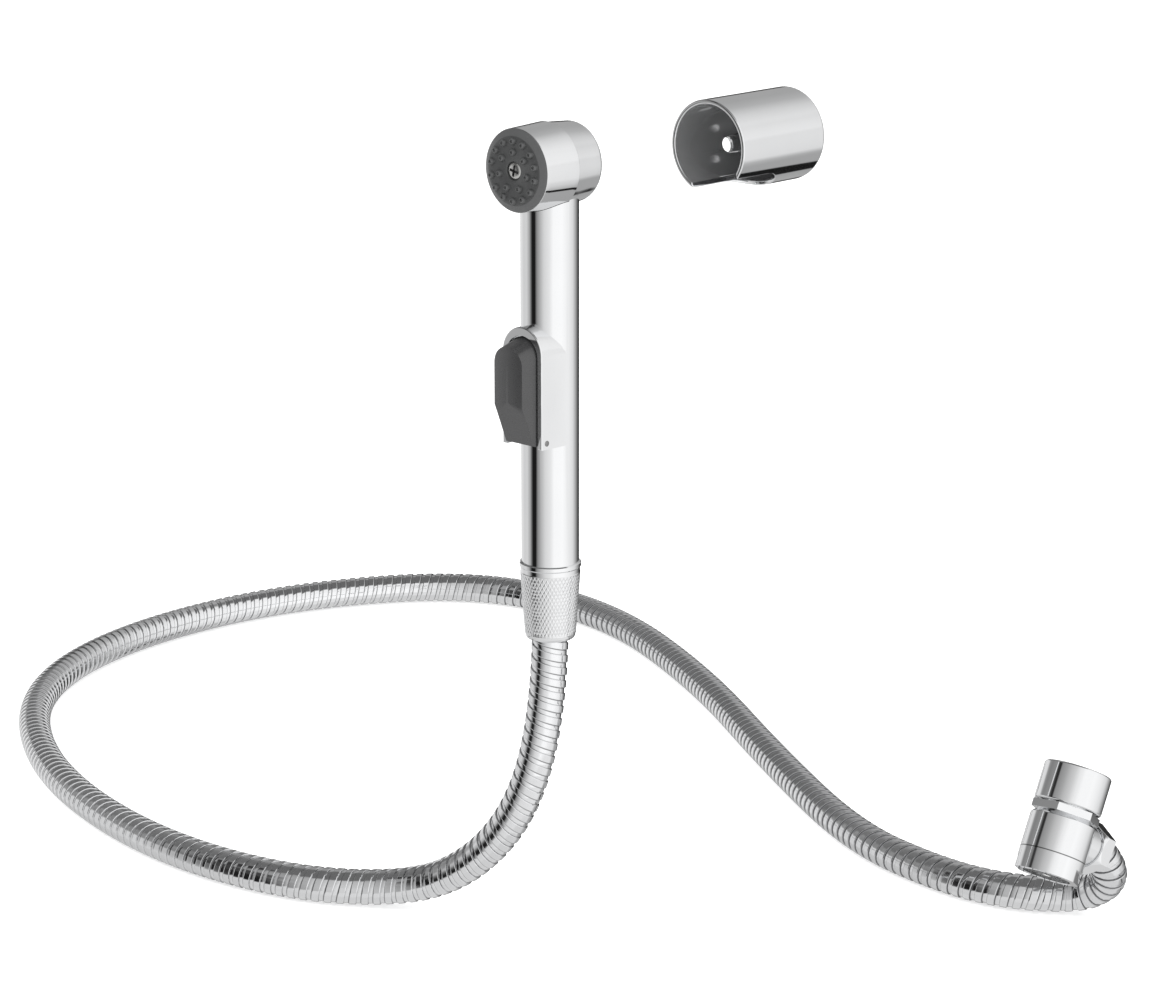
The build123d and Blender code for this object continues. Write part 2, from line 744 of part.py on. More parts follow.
print("hose length", round(hose_length, 1), "volume share", round(hose.part.volume / (hose_section * hose_length), 4))

# Hose's end at the diverter
with BuildPart() as outlet_ferrule:
    with BuildSketch(across(hose_seat)):
        Circle(hose_radius + running_gap)
        Circle(outlet_bore, mode=Mode.SUBTRACT)
    extrude(amount=-outlet_ferrule_length)
    with BuildSketch(across(outlet_seat)):
        Circle(nipple_radius)
        Circle(outlet_bore, mode=Mode.SUBTRACT)
    extrude(amount=-outlet_flange_thickness)
outlet_ferrule.part.label = "outlet_ferrule"
export_step(outlet_ferrule.part, "parts/outlet_ferrule.step")

# Hexagonal nut that holds the hose to the diverter
with BuildPart() as hex_nut:
    with BuildSketch(across(outlet_nut_start)):
        RegularPolygon(hex_nut_flats / 2, 6, major_radius=False, rotation=hex_nut_turn)
        Circle(nipple_radius + running_gap, mode=Mode.SUBTRACT)
    extrude(amount=hex_nut_length)
    with BuildSketch(diverter_section):
        with BuildLine():
            Polyline((outlet_nut_start, 0), (outlet_nut_start, hex_nut_face_radius),
                     (outlet_nut_start + hex_nut_chamfer, hex_nut_corner),
                     (outlet_nut_start + hex_nut_length, hex_nut_corner),
                     (outlet_nut_start + hex_nut_length, 0), close=True)
        make_face()
    revolve(axis=outlet_axis, mode=Mode.INTERSECT)
    with BuildSketch(across(outlet_seat + seat_gap)):
        Circle(nipple_radius + 2 * running_gap)
        Circle(hose_radius + body_gap, mode=Mode.SUBTRACT)
    extrude(amount=outlet_nut_start + hex_nut_length - outlet_seat - seat_gap)
hex_nut.part.label = "hex_nut"
export_step(hex_nut.part, "parts/hex_nut.step")

# Washer in the hexagonal nut
with BuildPart() as outlet_washer:
    with BuildSketch(across(nipple_end)):
        Circle(nipple_radius)
        Circle(outlet_bore, mode=Mode.SUBTRACT)
    extrude(amount=outlet_washer_thickness)
outlet_washer.part.label = "outlet_washer"
export_step(outlet_washer.part, "parts/outlet_washer.step")

# Diverter body, with its hexagon on top, its outlet boss and the ring that the aerator screws onto
with BuildPart() as diverter_body:
    with BuildSketch(storey(-body_down)):
        Circle(body_radius)
    extrude(amount=body_down + body_up)
    with BuildSketch(diverter_section):
        with BuildLine():
            Polyline((0, body_up), (body_radius, body_up),
                     (body_radius - body_chamfer, body_up + body_chamfer),
                     (0, body_up + body_chamfer), close=True)
        make_face()
    revolve(axis=diverter_axis)
    with BuildSketch(storey(body_up + body_chamfer)):
        RegularPolygon(hex_corner_radius, 6, rotation=hex_turn)
    extrude(amount=hex_height)
    with BuildSketch(storey(-body_down)):
        Circle(screw_ring_radius)
    extrude(amount=-screw_ring_length)
    with BuildSketch(across(0)):
        Circle(outlet_boss_radius)
    extrude(amount=outlet_reach)
    with BuildSketch(across(outlet_reach)):
        Circle(nipple_radius)
    extrude(amount=nipple_length)
    with BuildSketch(across(0)):
        Circle(outlet_bore)
    extrude(amount=nipple_end, mode=Mode.SUBTRACT)
    with BuildSketch(storey(inlet_base - inlet_gap)):
        Circle(stem_shank_radius)
    extrude(amount=-(inlet_base - inlet_gap - chamber_top - piston_travel), mode=Mode.SUBTRACT)
    with BuildSketch(storey(chamber_top + piston_travel)):
        Circle(body_bore)
    extrude(amount=-(chamber_top + piston_travel + body_down + screw_ring_length), mode=Mode.SUBTRACT)
diverter_body.part.label = "diverter_body"
export_step(diverter_body.part, "parts/diverter_body.step")

# Inlet stem, screwed into the body, on which the collar turns
with BuildPart() as inlet_stem:
    with BuildSketch(storey(chamber_top + piston_travel)):
        Circle(stem_shank_radius)
    extrude(amount=stem_flange_base - chamber_top - piston_travel)
    with BuildSketch(storey(stem_flange_base)):
        Circle(stem_flange_radius)
    extrude(amount=stem_flange_height)
    with BuildSketch(storey(chamber_top + piston_travel)):
        Circle(stem_way_radius)
    extrude(amount=stem_top - chamber_top - piston_travel, mode=Mode.SUBTRACT)
inlet_stem.part.label = "inlet_stem"
export_step(inlet_stem.part, "parts/inlet_stem.step")

# Inlet collar with the thread for the tap
with BuildPart() as inlet_collar:
    with BuildSketch(storey(inlet_base)):
        Circle(inlet_radius)
    extrude(amount=inlet_height)
    with BuildSketch(storey(stem_top + inlet_washer_thickness)):
        Circle(inlet_thread_radius)
    extrude(amount=inlet_top - stem_top - inlet_washer_thickness, mode=Mode.SUBTRACT)
    with BuildSketch(storey(inlet_base + inlet_floor)):
        Circle(inlet_seat_radius)
    extrude(amount=inlet_height - inlet_floor, mode=Mode.SUBTRACT)
    with BuildSketch(storey(inlet_base)):
        Circle(stem_shank_radius + running_gap)
    extrude(amount=inlet_floor, mode=Mode.SUBTRACT)
    chamfer(inlet_collar.edges().filter_by(GeomType.CIRCLE).sort_by(SortBy.RADIUS)[-2:], length=0.5)
inlet_collar.part.label = "inlet_collar"
export_step(inlet_collar.part, "parts/inlet_collar.step")

# Washer in the inlet
with BuildPart() as inlet_washer:
    with BuildSketch(storey(stem_top)):
        Circle(inlet_seat_radius - running_gap)
        Circle(stem_way_radius, mode=Mode.SUBTRACT)
    extrude(amount=inlet_washer_thickness)
inlet_washer.part.label = "inlet_washer"
export_step(inlet_washer.part, "parts/inlet_washer.step")

# Aerator ring with its two wrench flats
with BuildPart() as aerator_ring:
    with BuildSketch(diverter_section):
        with BuildLine():
            Polyline((screw_ring_radius, -body_down), (body_radius, -body_down),
                     (aerator_radius, -aerator_end), (aerator_lip_radius, -aerator_end),
                     (aerator_lip_radius, -screen_base), (screw_ring_radius, -screen_base), close=True)
        make_face()
    revolve(axis=diverter_axis)
    with BuildSketch(storey(-aerator_end)):
        with PolarLocations(aerator_flat + body_radius / 2, 2, start_angle=aerator_flat_turn):
            Rectangle(body_radius, 2 * body_radius)
    extrude(amount=aerator_flat_height, mode=Mode.SUBTRACT)
aerator_ring.part.label = "aerator_ring"
export_step(aerator_ring.part, "parts/aerator_ring.step")

# Aerator screen with a guide for the piston
with BuildPart() as aerator_screen:
    with BuildSketch(storey(-screen_base)):
        Circle(screw_ring_radius)
        with PolarLocations(5.0, 8):
            Circle(screen_hole_radius, mode=Mode.SUBTRACT)
        with PolarLocations(7.4, 14):
            Circle(screen_hole_radius, mode=Mode.SUBTRACT)
    extrude(amount=screen_thickness)
    with BuildSketch(storey(-screen_base)):
        Circle(guide_radius)
    extrude(amount=screen_base - body_down + 1.0)
    with BuildSketch(storey(-screen_base)):
        Circle(piston_stem_radius + running_gap / 2)
    extrude(amount=screen_base, mode=Mode.SUBTRACT)
aerator_screen.part.label = "aerator_screen"
export_step(aerator_screen.part, "parts/aerator_screen.step")

# Piston that turns the water from the tap's spout to the hose
with BuildPart() as diverter_piston:
    with BuildSketch(storey(piston_base)):
        Circle(body_bore - running_gap)
    extrude(amount=piston_thickness)
    with BuildSketch(storey(piston_base)):
        Circle(piston_stem_radius)
    extrude(amount=-(screen_base + piston_base))
diverter_piston.part.label = "diverter_piston"
export_step(diverter_piston.part, "parts/diverter_piston.step")

# Spring round the piston's stem, drawn as short as it is when the piston is down
with BuildPart() as diverter_spring:
    spring_seat = screen_thickness - screen_base
    piston_low = piston_base - piston_travel
    diverter_coil_length = piston_low - spring_seat - diverter_spring_wire - 0.1
    coil_base = diverter_plane.from_local_coords((0, 0, spring_seat + diverter_spring_wire / 2))
    with BuildLine() as diverter_coil:
        Helix(pitch=diverter_coil_length / diverter_spring_turns, height=diverter_coil_length,
              radius=diverter_spring_radius - diverter_spring_wire / 2, center=coil_base,
              direction=diverter_plane.z_dir)
    with BuildSketch(Plane(origin=diverter_coil.line @ 0, z_dir=diverter_coil.line % 0)):
        Circle(diverter_spring_wire / 2)
    sweep(path=diverter_coil.line)
diverter_spring.part.label = "diverter_spring"
export_step(diverter_spring.part, "parts/diverter_spring.step")
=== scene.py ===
import bmesh
import bpy
import math
from mathutils import Matrix, Vector


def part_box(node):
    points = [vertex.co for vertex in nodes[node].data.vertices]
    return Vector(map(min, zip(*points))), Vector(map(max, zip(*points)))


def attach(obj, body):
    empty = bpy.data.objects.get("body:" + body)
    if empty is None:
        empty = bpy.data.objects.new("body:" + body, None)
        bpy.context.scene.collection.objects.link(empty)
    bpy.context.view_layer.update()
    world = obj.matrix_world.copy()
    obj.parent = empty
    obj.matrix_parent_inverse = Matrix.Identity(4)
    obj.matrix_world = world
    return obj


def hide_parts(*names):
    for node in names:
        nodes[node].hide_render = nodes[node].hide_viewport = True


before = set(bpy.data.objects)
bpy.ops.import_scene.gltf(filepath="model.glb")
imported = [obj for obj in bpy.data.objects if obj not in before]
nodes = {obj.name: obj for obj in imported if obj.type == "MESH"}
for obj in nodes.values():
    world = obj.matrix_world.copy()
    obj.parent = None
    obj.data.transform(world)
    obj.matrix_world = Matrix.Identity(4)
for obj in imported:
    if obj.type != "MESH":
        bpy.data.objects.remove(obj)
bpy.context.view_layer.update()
print("frame loaded with", len(nodes), "nodes")

mm = 0.001
weld = 1e-6
handsetY = -137.7 * mm  # the handset's axis stands this far out from the wall
headZ = 4.0 * mm  # the head's axis lies this far above the holder's


# shader sockets with arithmetic, so a pattern reads as a formula
class Shade:
    def __init__(self, tree, socket=None):
        self.tree = tree
        self.socket = socket

    def node(self, kind, settings=None, **inputs):
        made = self.tree.nodes.new(kind)
        for name, value in (settings or {}).items():
            if name == "stops":
                ramp = made.color_ramp
                while len(ramp.elements) < len(value):
                    ramp.elements.new(0.5)
                for element, (place, tone) in zip(ramp.elements, value):
                    element.position = place
                    element.color = (tone, tone, tone, 1)
            else:
                setattr(made, name, value)
        for name, value in inputs.items():
            # i0, i1 and so on name a socket by its place in the node
            byPlace = name[0] == "i" and name[1:].isdigit()
            socket = made.inputs[int(name[1:]) if byPlace else name]
            if isinstance(value, Shade):
                self.tree.links.new(value.socket, socket)
            else:
                socket.default_value = value
        return made

    def out(self, made, name=0):
        return Shade(self.tree, made.outputs[name])

    def into(self, surface, name):
        self.tree.links.new(self.socket, surface.inputs[name])

    def math(self, operation, *values):
        inputs = {"i%d" % index: value for index, value in enumerate(values)}
        return self.out(self.node("ShaderNodeMath", {"operation": operation}, **inputs))

    def mix(self, share, first, second):
        ends = [end if isinstance(end, Shade) else (*end, 1) for end in (first, second)]
        blend = self.node("ShaderNodeMix", {"data_type": "RGBA"}, i0=share, i6=ends[0], i7=ends[1])
        return self.out(blend, 2)

    def noise(self, place, size, detail):
        return self.out(self.node("ShaderNodeTexNoise", Vector=place, Scale=size, Detail=detail))

    def objectPlace(self):
        return self.out(self.node("ShaderNodeTexCoord"), "Object")

    def split(self, place):
        parts = self.node("ShaderNodeSeparateXYZ", Vector=place)
        return [self.out(parts, axis) for axis in "XYZ"]

    def clamp(self, low=0, high=1):
        return self.math("MINIMUM", self.math("MAXIMUM", self, low), high)

    def __add__(self, other):
        return self.math("ADD", self, other)

    __radd__ = __add__

    def __sub__(self, other):
        return self.math("SUBTRACT", self, other)

    def __rsub__(self, other):
        return self.math("SUBTRACT", other, self)

    def __mul__(self, other):
        return self.math("MULTIPLY", self, other)

    __rmul__ = __mul__

    def __truediv__(self, other):
        return self.math("DIVIDE", self, other)

    def __rtruediv__(self, other):
        return self.math("DIVIDE", other, self)

    def __pow__(self, other):
        return self.math("POWER", self, other)


def newMaterial(name):
    material = bpy.data.materials.new(name)
    material.use_nodes = True
    tree = material.node_tree
    return material, tree.nodes["Principled BSDF"], Shade(tree)


# metals: polished chrome, the holder's bore with painted shade, the diverter's joint with a painted line of
# shade, and duller steels
chromeLook = {
    "tint": (0.86, 0.865, 0.87), "smudge": (0.81, 0.815, 0.825),
    "gloss": 0.035, "haze": 0.05,
    "smudgeSize": 46.0, "smudgeDetail": 4.0, "wipeFiner": 9, "wipeDetail": 2.0,
}
screwLook = {
    **chromeLook, "tint": (0.80, 0.80, 0.78), "smudge": (0.62, 0.62, 0.6),
    "gloss": 0.24, "haze": 0.2, "smudgeSize": 300.0,
}
# the pin's dull steel, which also paints shade into the screw's cross
pinAndRecessShadeLook = {
    **chromeLook, "tint": (0.36, 0.36, 0.36), "smudge": (0.24, 0.24, 0.24),
    "gloss": 0.3, "haze": 0.2, "smudgeSize": 400.0,
}
# painted shade: the holder's bore is painted dark, with paler patches of painted reflection, and made duller
holderBoreShade = {
    "radius": 16.6 * mm, "from": 2.5 * mm, "blend": 0.25 * mm,
    "dark": (0.035, 0.035, 0.037), "light": (0.19, 0.19, 0.195),
    "patchSize": 75.0, "patchDetail": 2.0, "rough": 0.14, "dull": 0.6,
}
diverterAxis = Vector((-0.040701, 0.50881, 0.859916))
diverterCentre = Vector((0.1517, -0.01905, -0.24775))
# painted shade: a dark line along the joint between the diverter and its ring
ringJointShade = {
    "axis": diverterAxis, "at": diverterAxis.dot(diverterCentre) - 8.9 * mm,
    "width": 0.34 * mm, "tone": (0.02, 0.02, 0.02),
}
# painted shade: the groove colour darkens the bands where they step down into the groove
hoseLook = {
    "tint": (0.84, 0.845, 0.855), "groove": (0.12, 0.12, 0.125),
    "gloss": 0.07, "wear": 0.06, "grooveRough": 0.35, "wearSize": 160.0, "wearDetail": 3.0,
}


def chromeMaterial(name, look, shadedBore=None, joint=None):
    material, surface, shade = newMaterial(name)
    place = shade.objectPlace()
    smudges = shade.noise(place, look["smudgeSize"], look["smudgeDetail"])
    wipe = shade.noise(place, look["smudgeSize"] * look["wipeFiner"], look["wipeDetail"])
    colour = shade.mix(smudges, look["smudge"], look["tint"])
    rough = look["gloss"] + smudges * look["haze"] * wipe
    if shadedBore:
        # painted shade: the bore is painted dark and made duller, with paler patches of painted reflection
        side, back, rise = shade.split(place)
        radius = (side * side + rise * rise) ** 0.5
        boreShadeMask = ((shadedBore["radius"] - radius) / shadedBore["blend"]).clamp()
        boreShadeMask = boreShadeMask * ((-shadedBore["from"] - back) / shadedBore["blend"]).clamp()
        paintedReflections = shade.noise(place, shadedBore["patchSize"], shadedBore["patchDetail"])
        colour = shade.mix(boreShadeMask, colour, shade.mix(paintedReflections, shadedBore["dark"], shadedBore["light"]))
        rough = rough + boreShadeMask * shadedBore["rough"]
        (1 - boreShadeMask * shadedBore["dull"]).into(surface, "Metallic")
    else:
        surface.inputs["Metallic"].default_value = 1.0
    if joint:
        # painted shade: a dark line is painted along the fine gap between two screwed parts
        along = shade.node("ShaderNodeVectorMath", {"operation": "DOT_PRODUCT"}, i0=place, i1=joint["axis"])
        away = shade.math("ABSOLUTE", shade.out(along, "Value") - joint["at"])
        colour = shade.mix((1 - away / joint["width"]).clamp(), colour, joint["tone"])
    colour.into(surface, "Base Color")
    rough.into(surface, "Roughness")
    return material


def hoseMaterial(name, look):
    material, surface, shade = newMaterial(name)
    wear = shade.noise(shade.objectPlace(), look["wearSize"], look["wearDetail"])
    # painted shade: the deeper a point lies in the groove, the darker it is painted
    depth = shade.out(shade.node("ShaderNodeAttribute", {"attribute_name": "groove"}), "Fac")
    shade.mix(depth, look["tint"], look["groove"]).into(surface, "Base Color")
    (look["gloss"] + wear * look["wear"] + depth * look["grooveRough"]).into(surface, "Roughness")
    surface.inputs["Metallic"].default_value = 1.0
    return material


# rubbers and plastics
grain = {
    "detail": 3.0, "broader": 14, "broadDetail": 2.0, "broadShare": 0.6, "fineShare": 0.4,
    "rough": 0.12, "lift": 0.2 * mm,
}
faceLook = {
    "dark": (0.030, 0.031, 0.032), "light": (0.048, 0.049, 0.049),
    "grainSize": 2400.0, "rough": 0.42, "bump": 0.2, "specular": 0.7,
    # painted highlight: the rim and nozzle tips are painted paler
    "paintedHighlight": {"rimFrom": 12.6 * mm, "tipFrom": 19.65 * mm, "blend": 0.25 * mm, "tone": (0.066, 0.067, 0.068)},
}
leverLook = {"dark": (0.026, 0.026, 0.027), "light": (0.036, 0.036, 0.037),
             "grainSize": 3000.0, "rough": 0.29, "bump": 0.1, "specular": 1.0}
sealLook = {"dark": (0.012, 0.012, 0.012), "light": (0.02, 0.02, 0.02),
            "grainSize": 1500.0, "rough": 0.6, "bump": 0.3, "specular": 0.5}
# painted shade: the aerator's screen is made dark grey, as it lies in shade behind the lip
screenShadeLook = {"dark": (0.07, 0.07, 0.07), "light": (0.13, 0.13, 0.13),
              "grainSize": 900.0, "rough": 0.45, "bump": 0.1, "specular": 0.5}
innerLook = {"dark": (0.72, 0.72, 0.70), "light": (0.80, 0.80, 0.78),
             "grainSize": 900.0, "rough": 0.35, "bump": 0.1, "specular": 0.5}


def softMaterial(name, look):
    material, surface, shade = newMaterial(name)
    place = shade.objectPlace()
    fine = shade.noise(place, look["grainSize"], grain["detail"])
    broad = shade.noise(place, look["grainSize"] / grain["broader"], grain["broadDetail"])
    colour = shade.mix(broad * grain["broadShare"] + fine * grain["fineShare"], look["dark"], look["light"])
    if "paintedHighlight" in look:
        # painted highlight: the rim and the nozzles' tips are painted paler than the middle
        paintedHighlight = look["paintedHighlight"]
        side, out, rise = shade.split(place)
        rise = rise - headZ
        radius = (side * side + rise * rise) ** 0.5
        rim = ((radius - paintedHighlight["rimFrom"]) / paintedHighlight["blend"]).clamp()
        tip = ((handsetY - paintedHighlight["tipFrom"] - out) / paintedHighlight["blend"]).clamp()
        colour = shade.mix((rim + tip).clamp(), colour, paintedHighlight["tone"])
    colour.into(surface, "Base Color")
    (look["rough"] - grain["rough"] / 2 + fine * grain["rough"]).into(surface, "Roughness")
    lift = shade.node("ShaderNodeBump", Height=fine, Strength=look["bump"], Distance=grain["lift"])
    shade.out(lift, "Normal").into(surface, "Normal")
    surface.inputs["Specular IOR Level"].default_value = look["specular"]
    return material


chrome = chromeMaterial("polishedChrome", chromeLook)
holderChrome = chromeMaterial("holderChrome", chromeLook, shadedBore=holderBoreShade)
diverterChrome = chromeMaterial("diverterChrome", chromeLook, joint=ringJointShade)
screwSteel = chromeMaterial("brushedScrewSteel", screwLook)
pinSteelAndRecessShade = chromeMaterial("dullPinSteelAndRecessShade", pinAndRecessShadeLook)
hoseSteel = hoseMaterial("hoseSteel", hoseLook)
faceRubber = softMaterial("sprayFaceRubber", faceLook)
leverPlastic = softMaterial("leverPlastic", leverLook)
sealRubber = softMaterial("sealRubber", sealLook)
screenPlasticInShade = softMaterial("screenPlasticInShade", screenShadeLook)
innerPlastic = softMaterial("innerPlastic", innerLook)

nodeMaterials = {
    holderChrome: ["wall_holder"],
    chrome: ["handle_body", "front_ring", "knurled_nut", "hex_nut", "diverter_body", "inlet_stem",
             "inlet_collar", "aerator_ring"],
    hoseSteel: ["hose_ferrule", "outlet_ferrule"],
    screwSteel: ["face_screw", "lever_pin", "valve_spring", "diverter_spring"],
    sealRubber: ["face_seal", "plunger_seal", "hose_washer", "outlet_washer", "inlet_washer"],
    innerPlastic: ["spray_plate", "upper_pipe", "lower_pipe", "valve_body", "valve_plunger",
                   "inlet_connector", "diverter_piston"],
    screenPlasticInShade: ["aerator_screen"],
    faceRubber: ["spray_face"],
    leverPlastic: ["thumb_lever"],
}
for material, names in nodeMaterials.items():
    for name in names:
        nodes[name].data.materials.clear()
        nodes[name].data.materials.append(material)
print("materials set")


def meshFrom(bm, name, sharp=None):
    # smooth all over, apart from the edges that turn by more than the sharp angle, in degrees
    for facet in bm.faces:
        facet.smooth = True
    mesh = bpy.data.meshes.new(name)
    bm.to_mesh(mesh)
    bm.free()
    if sharp:
        mesh.set_sharp_from_angle(angle=math.radians(sharp))
    return mesh


def turned(profile, axis, steps, closed=False):
    # (radius, height) pairs in millimetres, spun round the Y or the Z axis
    bm = bmesh.new()
    if axis == "Y":
        verts = [bm.verts.new((radius * mm, height * mm, 0)) for radius, height in profile]
    else:
        verts = [bm.verts.new((radius * mm, 0, height * mm)) for radius, height in profile]
    following = verts[1:] + verts[:1] if closed else verts[1:]
    edges = [bm.edges.new(pair) for pair in zip(verts, following)]
    bmesh.ops.spin(bm, geom=verts + edges, cent=(0, 0, 0), axis=(0, 1, 0) if axis == "Y" else (0, 0, 1),
                   angle=2 * math.pi, steps=steps, use_merge=True)
    return bm


def finishPiece(name, mesh, material, body, slot, *replaced):
    piece = bpy.data.objects.new(name, mesh)
    bpy.context.scene.collection.objects.link(piece)
    mesh.materials.clear()
    mesh.materials.append(material)
    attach(piece, body)
    if replaced:
        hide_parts(*replaced)
    return piece


# knurled hose nut, turned from its profile, then the diamonds are pressed in
nut = {
    "profile": [(9.6, -145.2), (11.2, -145.2), (11.55, -145.55), (11.55, -146.9), (11.3, -147.2),
                (11.15, -147.4), (11.15, -149.0)],
    "knurlTop": (11.3, -149.3), "knurlEnd": (9.62, -172.9),
    "foot": [(9.5, -173.2), (9.4, -173.9), (9.1, -174.6), (8.5, -175.0), (7.5, -175.0), (7.5, -163.2),
             (9.7, -163.2), (9.7, -155.2), (9.6, -155.2)],
    "rows": 104, "around": 440, "diamonds": 44, "diamondHeight": 2.8, "depth": 0.13, "grooveShare": 3.0,
    "slack": 0.05, "skinRadius": 9.55, "fade": 0.5, "sharp": 14,
}


def buildNut():
    topR, topZ = nut["knurlTop"]
    endR, endZ = nut["knurlEnd"]
    shares = [row / nut["rows"] for row in range(nut["rows"] + 1)]
    skin = [(topR + (endR - topR) * share, topZ + (endZ - topZ) * share) for share in shares]
    bm = turned(nut["profile"] + skin + nut["foot"], "Z", nut["around"], closed=True)
    bmesh.ops.recalc_face_normals(bm, faces=bm.faces)
    for vertex in bm.verts:
        height = vertex.co.z / mm
        radius = math.hypot(vertex.co.x, vertex.co.y) / mm
        if endZ - nut["slack"] < height < topZ + nut["slack"] and radius > nut["skinRadius"]:
            turn = math.atan2(vertex.co.y, vertex.co.x) / (2 * math.pi) * nut["diamonds"]
            rise = height / nut["diamondHeight"]
            first = 1 - abs(2 * ((turn + rise) % 1) - 1)
            second = 1 - abs(2 * ((turn - rise) % 1) - 1)
            fade = max(0, min(1, (topZ - height) / nut["fade"], (height - endZ) / nut["fade"]))
            sink = nut["depth"] * (1 - min(1, nut["grooveShare"] * min(first, second))) * fade
            scale = (radius - sink) / radius
            vertex.co.x *= scale
            vertex.co.y *= scale
    bmesh.ops.translate(bm, verts=bm.verts, vec=(0, handsetY, 0))
    mesh = meshFrom(bm, "knurledHoseNut", nut["sharp"])
    finishPiece("knurledHoseNut", mesh, chrome, "handset", "chrome", "knurled_nut")
    print("nut", len(mesh.polygons), "faces")


buildNut()

# spray face: soft pad with a rounded rim, domed nozzles and a sunk middle for the screw
face = {
    "profile": [(0.0, -17.0), (3.4, -17.0), (3.4, -18.75), (3.6, -19.05), (4.0, -19.2), (11.6, -19.2),
                (12.3, -19.12), (12.9, -18.85), (14.6, -17.95), (15.1, -17.65), (15.3, -17.45),
                (15.3, -17.48), (13.2, -17.5), (13.2, -13.0), (0.0, -13.0)],
    "front": -19.2, "around": 128, "sharp": 42,
    "rings": [(10.9, 14), (6.9, 7)],  # radius and number of nozzles
    "nozzle": {"foot": 1.5, "top": 0.86, "height": 1.2, "sunk": 0.1, "around": 20, "rimRound": 0.22,
               "wall": 0.16, "dish": 0.5, "reach": 2.0, "capSides": 12},
}


def addNozzle(bm, centre):
    nozzle = face["nozzle"]
    place = Matrix.Translation(centre) @ Matrix.Rotation(math.radians(90), 4, "X")
    cone = bmesh.ops.create_cone(bm, cap_ends=True, segments=nozzle["around"], radius1=nozzle["foot"] * mm,
                                 radius2=nozzle["top"] * mm, depth=(nozzle["height"] + nozzle["sunk"]) * mm,
                                 matrix=place)

    def near(vertex):
        return (vertex.co - centre).length < nozzle["reach"] * mm

    front = min(v.co.y for v in cone["verts"])
    sides = {f for v in cone["verts"] for f in v.link_faces}
    caps = [f for f in sides if all(abs(v.co.y - front) < weld for v in f.verts)]
    rim = list({e for f in caps for e in f.edges})
    bmesh.ops.bevel(bm, geom=rim, offset=nozzle["rimRound"] * mm, affect="EDGES", segments=3, profile=0.5,
                    material=-1)
    front = min(v.co.y for v in bm.verts if near(v))
    cap = [f for f in bm.faces if len(f.verts) > nozzle["capSides"]
           and all(abs(v.co.y - front) < weld and near(v) for v in f.verts)]
    bmesh.ops.inset_region(bm, faces=cap, thickness=nozzle["wall"] * mm)
    for vertex in {v for f in cap for v in f.verts}:
        vertex.co.y += nozzle["dish"] * mm


def buildFace():
    bm = turned(face["profile"], "Y", face["around"])
    bmesh.ops.remove_doubles(bm, verts=bm.verts, dist=weld)
    nozzle = face["nozzle"]
    middle = face["front"] - nozzle["height"] / 2 + nozzle["sunk"] / 2
    for circle, count in face["rings"]:
        for index in range(count):
            angle = math.radians(90) + 2 * math.pi * index / count
            addNozzle(bm, Vector((circle * math.cos(angle), middle, circle * math.sin(angle))) * mm)
    bmesh.ops.translate(bm, verts=bm.verts, vec=(0, handsetY, headZ))
    bmesh.ops.recalc_face_normals(bm, faces=bm.faces)
    mesh = meshFrom(bm, "sprayPad", face["sharp"])
    finishPiece("sprayPad", mesh, faceRubber, "handset", "grey_rubber", "spray_face")
    print("spray face", len(mesh.polygons), "faces")


buildFace()

# face screw, a pan head with a cross cut into it
screw = {
    "profile": [(0.0, -18.95), (1.6, -18.92), (2.6, -18.75), (3.15, -18.4), (3.34, -18.0), (3.34, -17.25),
                (1.5, -17.25)],
    "shank": 1.5, "top": -18.95, "around": 48, "sharp": 35,
    "crossLength": 4.3, "crossWidth": 1.0, "crossDepth": 1.5, "crossTurn": 12,
    "recessFrom": -18.7, "recessTo": -17.3, "slack": 0.01,
}


def carved(mesh, cutter):
    body = bpy.data.objects.new("blank", mesh)
    tool = bpy.data.objects.new("tool", cutter)
    for item in (body, tool):
        bpy.context.scene.collection.objects.link(item)
    cut = body.modifiers.new("cut", "BOOLEAN")
    cut.object = tool
    cut.operation = "DIFFERENCE"
    cut.solver = "EXACT"
    cut.use_self = True
    bpy.context.view_layer.update()
    result = bpy.data.meshes.new_from_object(body.evaluated_get(bpy.context.evaluated_depsgraph_get()))
    bpy.data.objects.remove(body)
    bpy.data.objects.remove(tool)
    return result


def buildScrew():
    end = (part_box("face_screw")[1][1] - handsetY) / mm
    bm = turned(screw["profile"] + [(screw["shank"], end), (0.0, end)], "Y", screw["around"])
    bmesh.ops.remove_doubles(bm, verts=bm.verts, dist=weld)
    bmesh.ops.recalc_face_normals(bm, faces=bm.faces)
    cutter = bmesh.new()
    length, width = screw["crossLength"], screw["crossWidth"]
    for across, up in ((length, width), (width, length)):
        made = bmesh.ops.create_cube(cutter, size=1.0)["verts"]
        bmesh.ops.scale(cutter, verts=made, vec=(across * mm, 2 * screw["crossDepth"] * mm, up * mm))
        bmesh.ops.translate(cutter, verts=made, vec=(0, screw["top"] * mm, 0))
    tilt = Matrix.Rotation(math.radians(screw["crossTurn"]), 3, "Y")
    bmesh.ops.rotate(cutter, verts=cutter.verts, cent=(0, 0, 0), matrix=tilt)
    mesh = carved(meshFrom(bm, "blank"), meshFrom(cutter, "cross"))
    mesh.transform(Matrix.Translation((0, handsetY, headZ)))
    for polygon in mesh.polygons:
        polygon.use_smooth = True
    mesh.set_sharp_from_angle(angle=math.radians(screw["sharp"]))
    mesh.name = "crossScrew"
    finishPiece("crossScrew", mesh, screwSteel, "handset", "steel", "face_screw")
    # painted shade: the recess of the cross takes the darker pin steel
    mesh.materials.append(pinSteelAndRecessShade)
    for polygon in mesh.polygons:
        middle = polygon.center
        spread = math.hypot(middle.x, middle.z - headZ) / mm
        depth = (middle.y - handsetY) / mm
        if spread < length / 2 + screw["slack"] and screw["recessFrom"] < depth < screw["recessTo"]:
            polygon.material_index = 1


